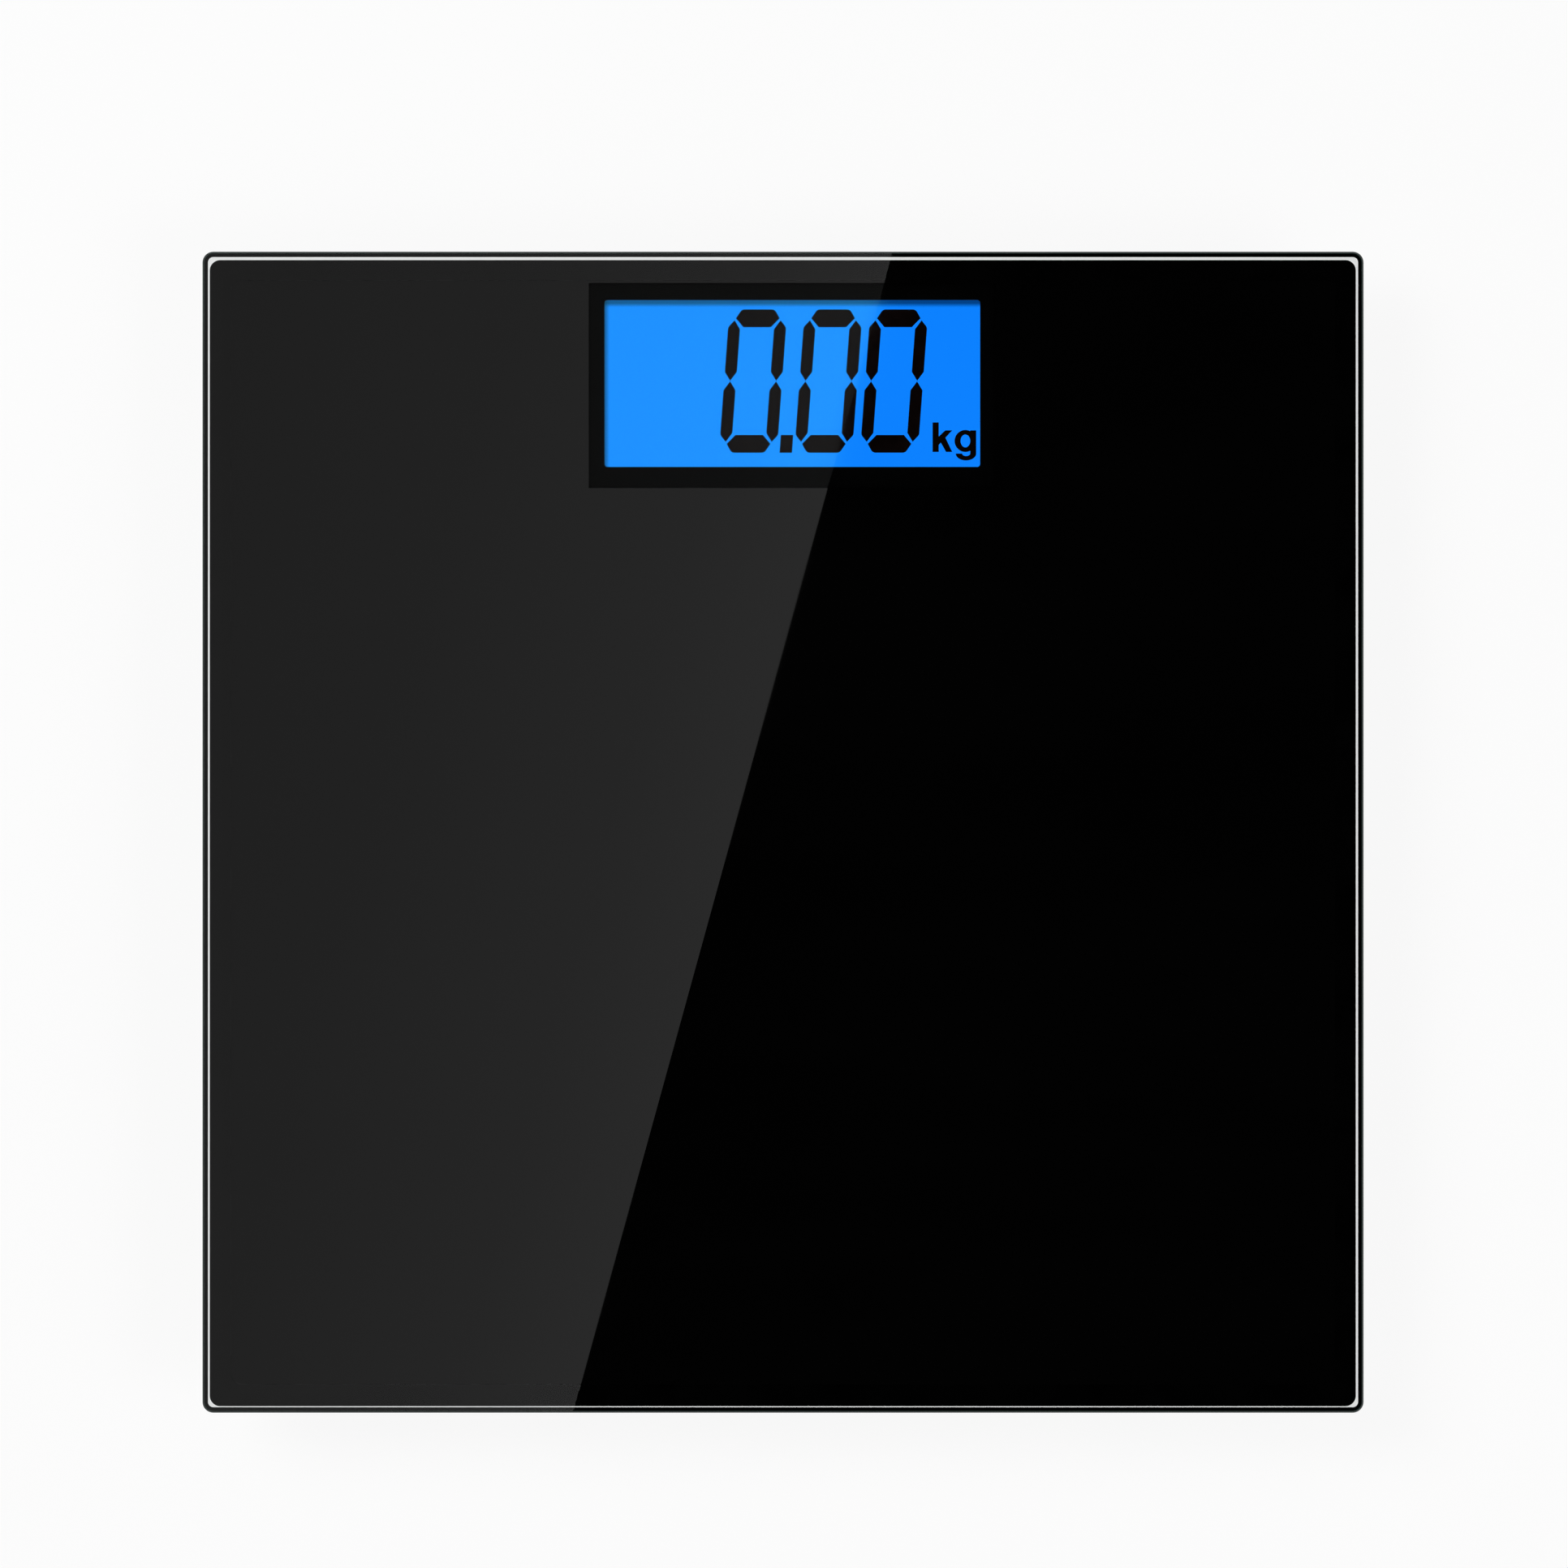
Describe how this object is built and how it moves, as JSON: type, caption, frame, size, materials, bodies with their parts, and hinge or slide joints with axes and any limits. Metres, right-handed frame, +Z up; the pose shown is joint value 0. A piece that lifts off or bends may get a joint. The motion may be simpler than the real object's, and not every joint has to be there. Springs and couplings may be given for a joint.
{
  "type": "digital bathroom scale",
  "caption": "Square black glass bathroom scale with a lit blue digital display at its far edge, load cell feet and a battery-fed display case under the glass.",
  "frame": {"origin": "on the floor under the middle of the platform", "axes": "+Z up, +Y away from the person who stands on the glass, towards the display, +X to the right"},
  "size_m": [0.3, 0.3, 0.0254],
  "materials": {
    "clear_glass": "polished tempered glass",
    "black_ink": "black screen print",
    "white_ink": "white screen print",
    "case_plastic": "fine textured black moulding",
    "foam_tape": "double-sided foam tape",
    "foot_plastic": "fine textured black moulding",
    "pad_rubber": "dark grey rubber",
    "cell_steel": "zinc plated stamped steel",
    "sealant": "white silicone",
    "lcd_glass": "backlit blue display",
    "lcd_ink": "dark display segments",
    "white_plastic": "white moulding",
    "guide_acrylic": "acrylic light guide",
    "led_resin": "LED package",
    "elastomer": "layered elastomer",
    "board_laminate": "green solder mask",
    "chip_resin": "black epoxy",
    "plated_can": "plated can",
    "component_ceramic": "small board parts",
    "switch_plastic": "switch moulding",
    "button_plastic": "grey moulding",
    "screw_steel": "plated screw",
    "battery_wrap": "printed sleeve with metal ends",
    "contact_sheet": "nickel plated sheet",
    "lead_red": "red insulation",
    "lead_black": "black insulation",
    "lead_white": "white insulation",
    "solder": "solder",
    "clip_plastic": "natural nylon clip"
  },
  "bodies": {
    "platform": {"glass_platform": "clear_glass", "black_print": "black_ink", "border_line": "white_ink", "display_case": "case_plastic", "case_tape": "foam_tape", "rear_cover": "case_plastic", "lcd_segments": "lcd_ink", "lcd_panel": "lcd_glass", "backlight_frame": "white_plastic", "light_guide": "guide_acrylic", "backlight_leds": "led_resin", "connector_strip": "elastomer", "circuit_board": "board_laminate", "bonded_chip": "chip_resin", "crystal_can": "plated_can", "board_components": "component_ceramic", "switch_body": "switch_plastic", "cover_screws": "screw_steel", "board_screws": "screw_steel", "battery_left": "battery_wrap", "battery_right": "battery_wrap", "contact_plate": "contact_sheet", "contact_spring": "contact_sheet", "leads_red": "lead_red", "leads_black": "lead_black", "leads_white": "lead_white", "battery_lead_red": "lead_red", "battery_lead_black": "lead_black", "solder_joints": "solder", "lead_clips": "clip_plastic", "foot_tape_front_left": "foam_tape", "foot_mount_front_left": "foot_plastic", "load_cell_front_left": "cell_steel", "gauge_sealant_front_left": "sealant", "foot_tape_front_right": "foam_tape", "foot_mount_front_right": "foot_plastic", "load_cell_front_right": "cell_steel", "gauge_sealant_front_right": "sealant", "foot_tape_back_left": "foam_tape", "foot_mount_back_left": "foot_plastic", "load_cell_back_left": "cell_steel", "gauge_sealant_back_left": "sealant", "foot_tape_back_right": "foam_tape", "foot_mount_back_right": "foot_plastic", "load_cell_back_right": "cell_steel", "gauge_sealant_back_right": "sealant"},
    "foot_front_left": {"foot_cap_front_left": "foot_plastic", "rubber_pad_front_left": "pad_rubber"},
    "foot_front_right": {"foot_cap_front_right": "foot_plastic", "rubber_pad_front_right": "pad_rubber"},
    "foot_back_left": {"foot_cap_back_left": "foot_plastic", "rubber_pad_back_left": "pad_rubber"},
    "foot_back_right": {"foot_cap_back_right": "foot_plastic", "rubber_pad_back_right": "pad_rubber"},
    "unit_key": {"unit_button": "button_plastic", "switch_plunger": "switch_plastic"},
    "battery_hatch": {"battery_door": "case_plastic"}
  },
  "joints": [
    {"name": "foot_front_left_press", "type": "slide", "parent": "platform", "child": "foot_front_left", "axis": [0, 0, 1], "range_m": [0, 0.0005], "stiffness_N_per_m": 3000, "springref_m": -0.002, "deforming": ["load_cell_front_left"]},
    {"name": "foot_front_right_press", "type": "slide", "parent": "platform", "child": "foot_front_right", "axis": [0, 0, 1], "range_m": [0, 0.0005], "stiffness_N_per_m": 3000, "springref_m": -0.002, "deforming": ["load_cell_front_right"]},
    {"name": "foot_back_left_press", "type": "slide", "parent": "platform", "child": "foot_back_left", "axis": [0, 0, 1], "range_m": [0, 0.0005], "stiffness_N_per_m": 3000, "springref_m": -0.002, "deforming": ["load_cell_back_left"]},
    {"name": "foot_back_right_press", "type": "slide", "parent": "platform", "child": "foot_back_right", "axis": [0, 0, 1], "range_m": [0, 0.0005], "stiffness_N_per_m": 3000, "springref_m": -0.002, "deforming": ["load_cell_back_right"]},
    {"name": "unit_button_press", "type": "slide", "parent": "platform", "child": "unit_key", "axis": [0, 0, 1], "range_m": [0, 0.0003], "stiffness_N_per_m": 2000, "springref_m": -0.0001},
    {"name": "battery_door_slide", "type": "slide", "parent": "platform", "child": "battery_hatch", "axis": [0, -1, 0], "range_m": [0, 0.016]}
  ]
}
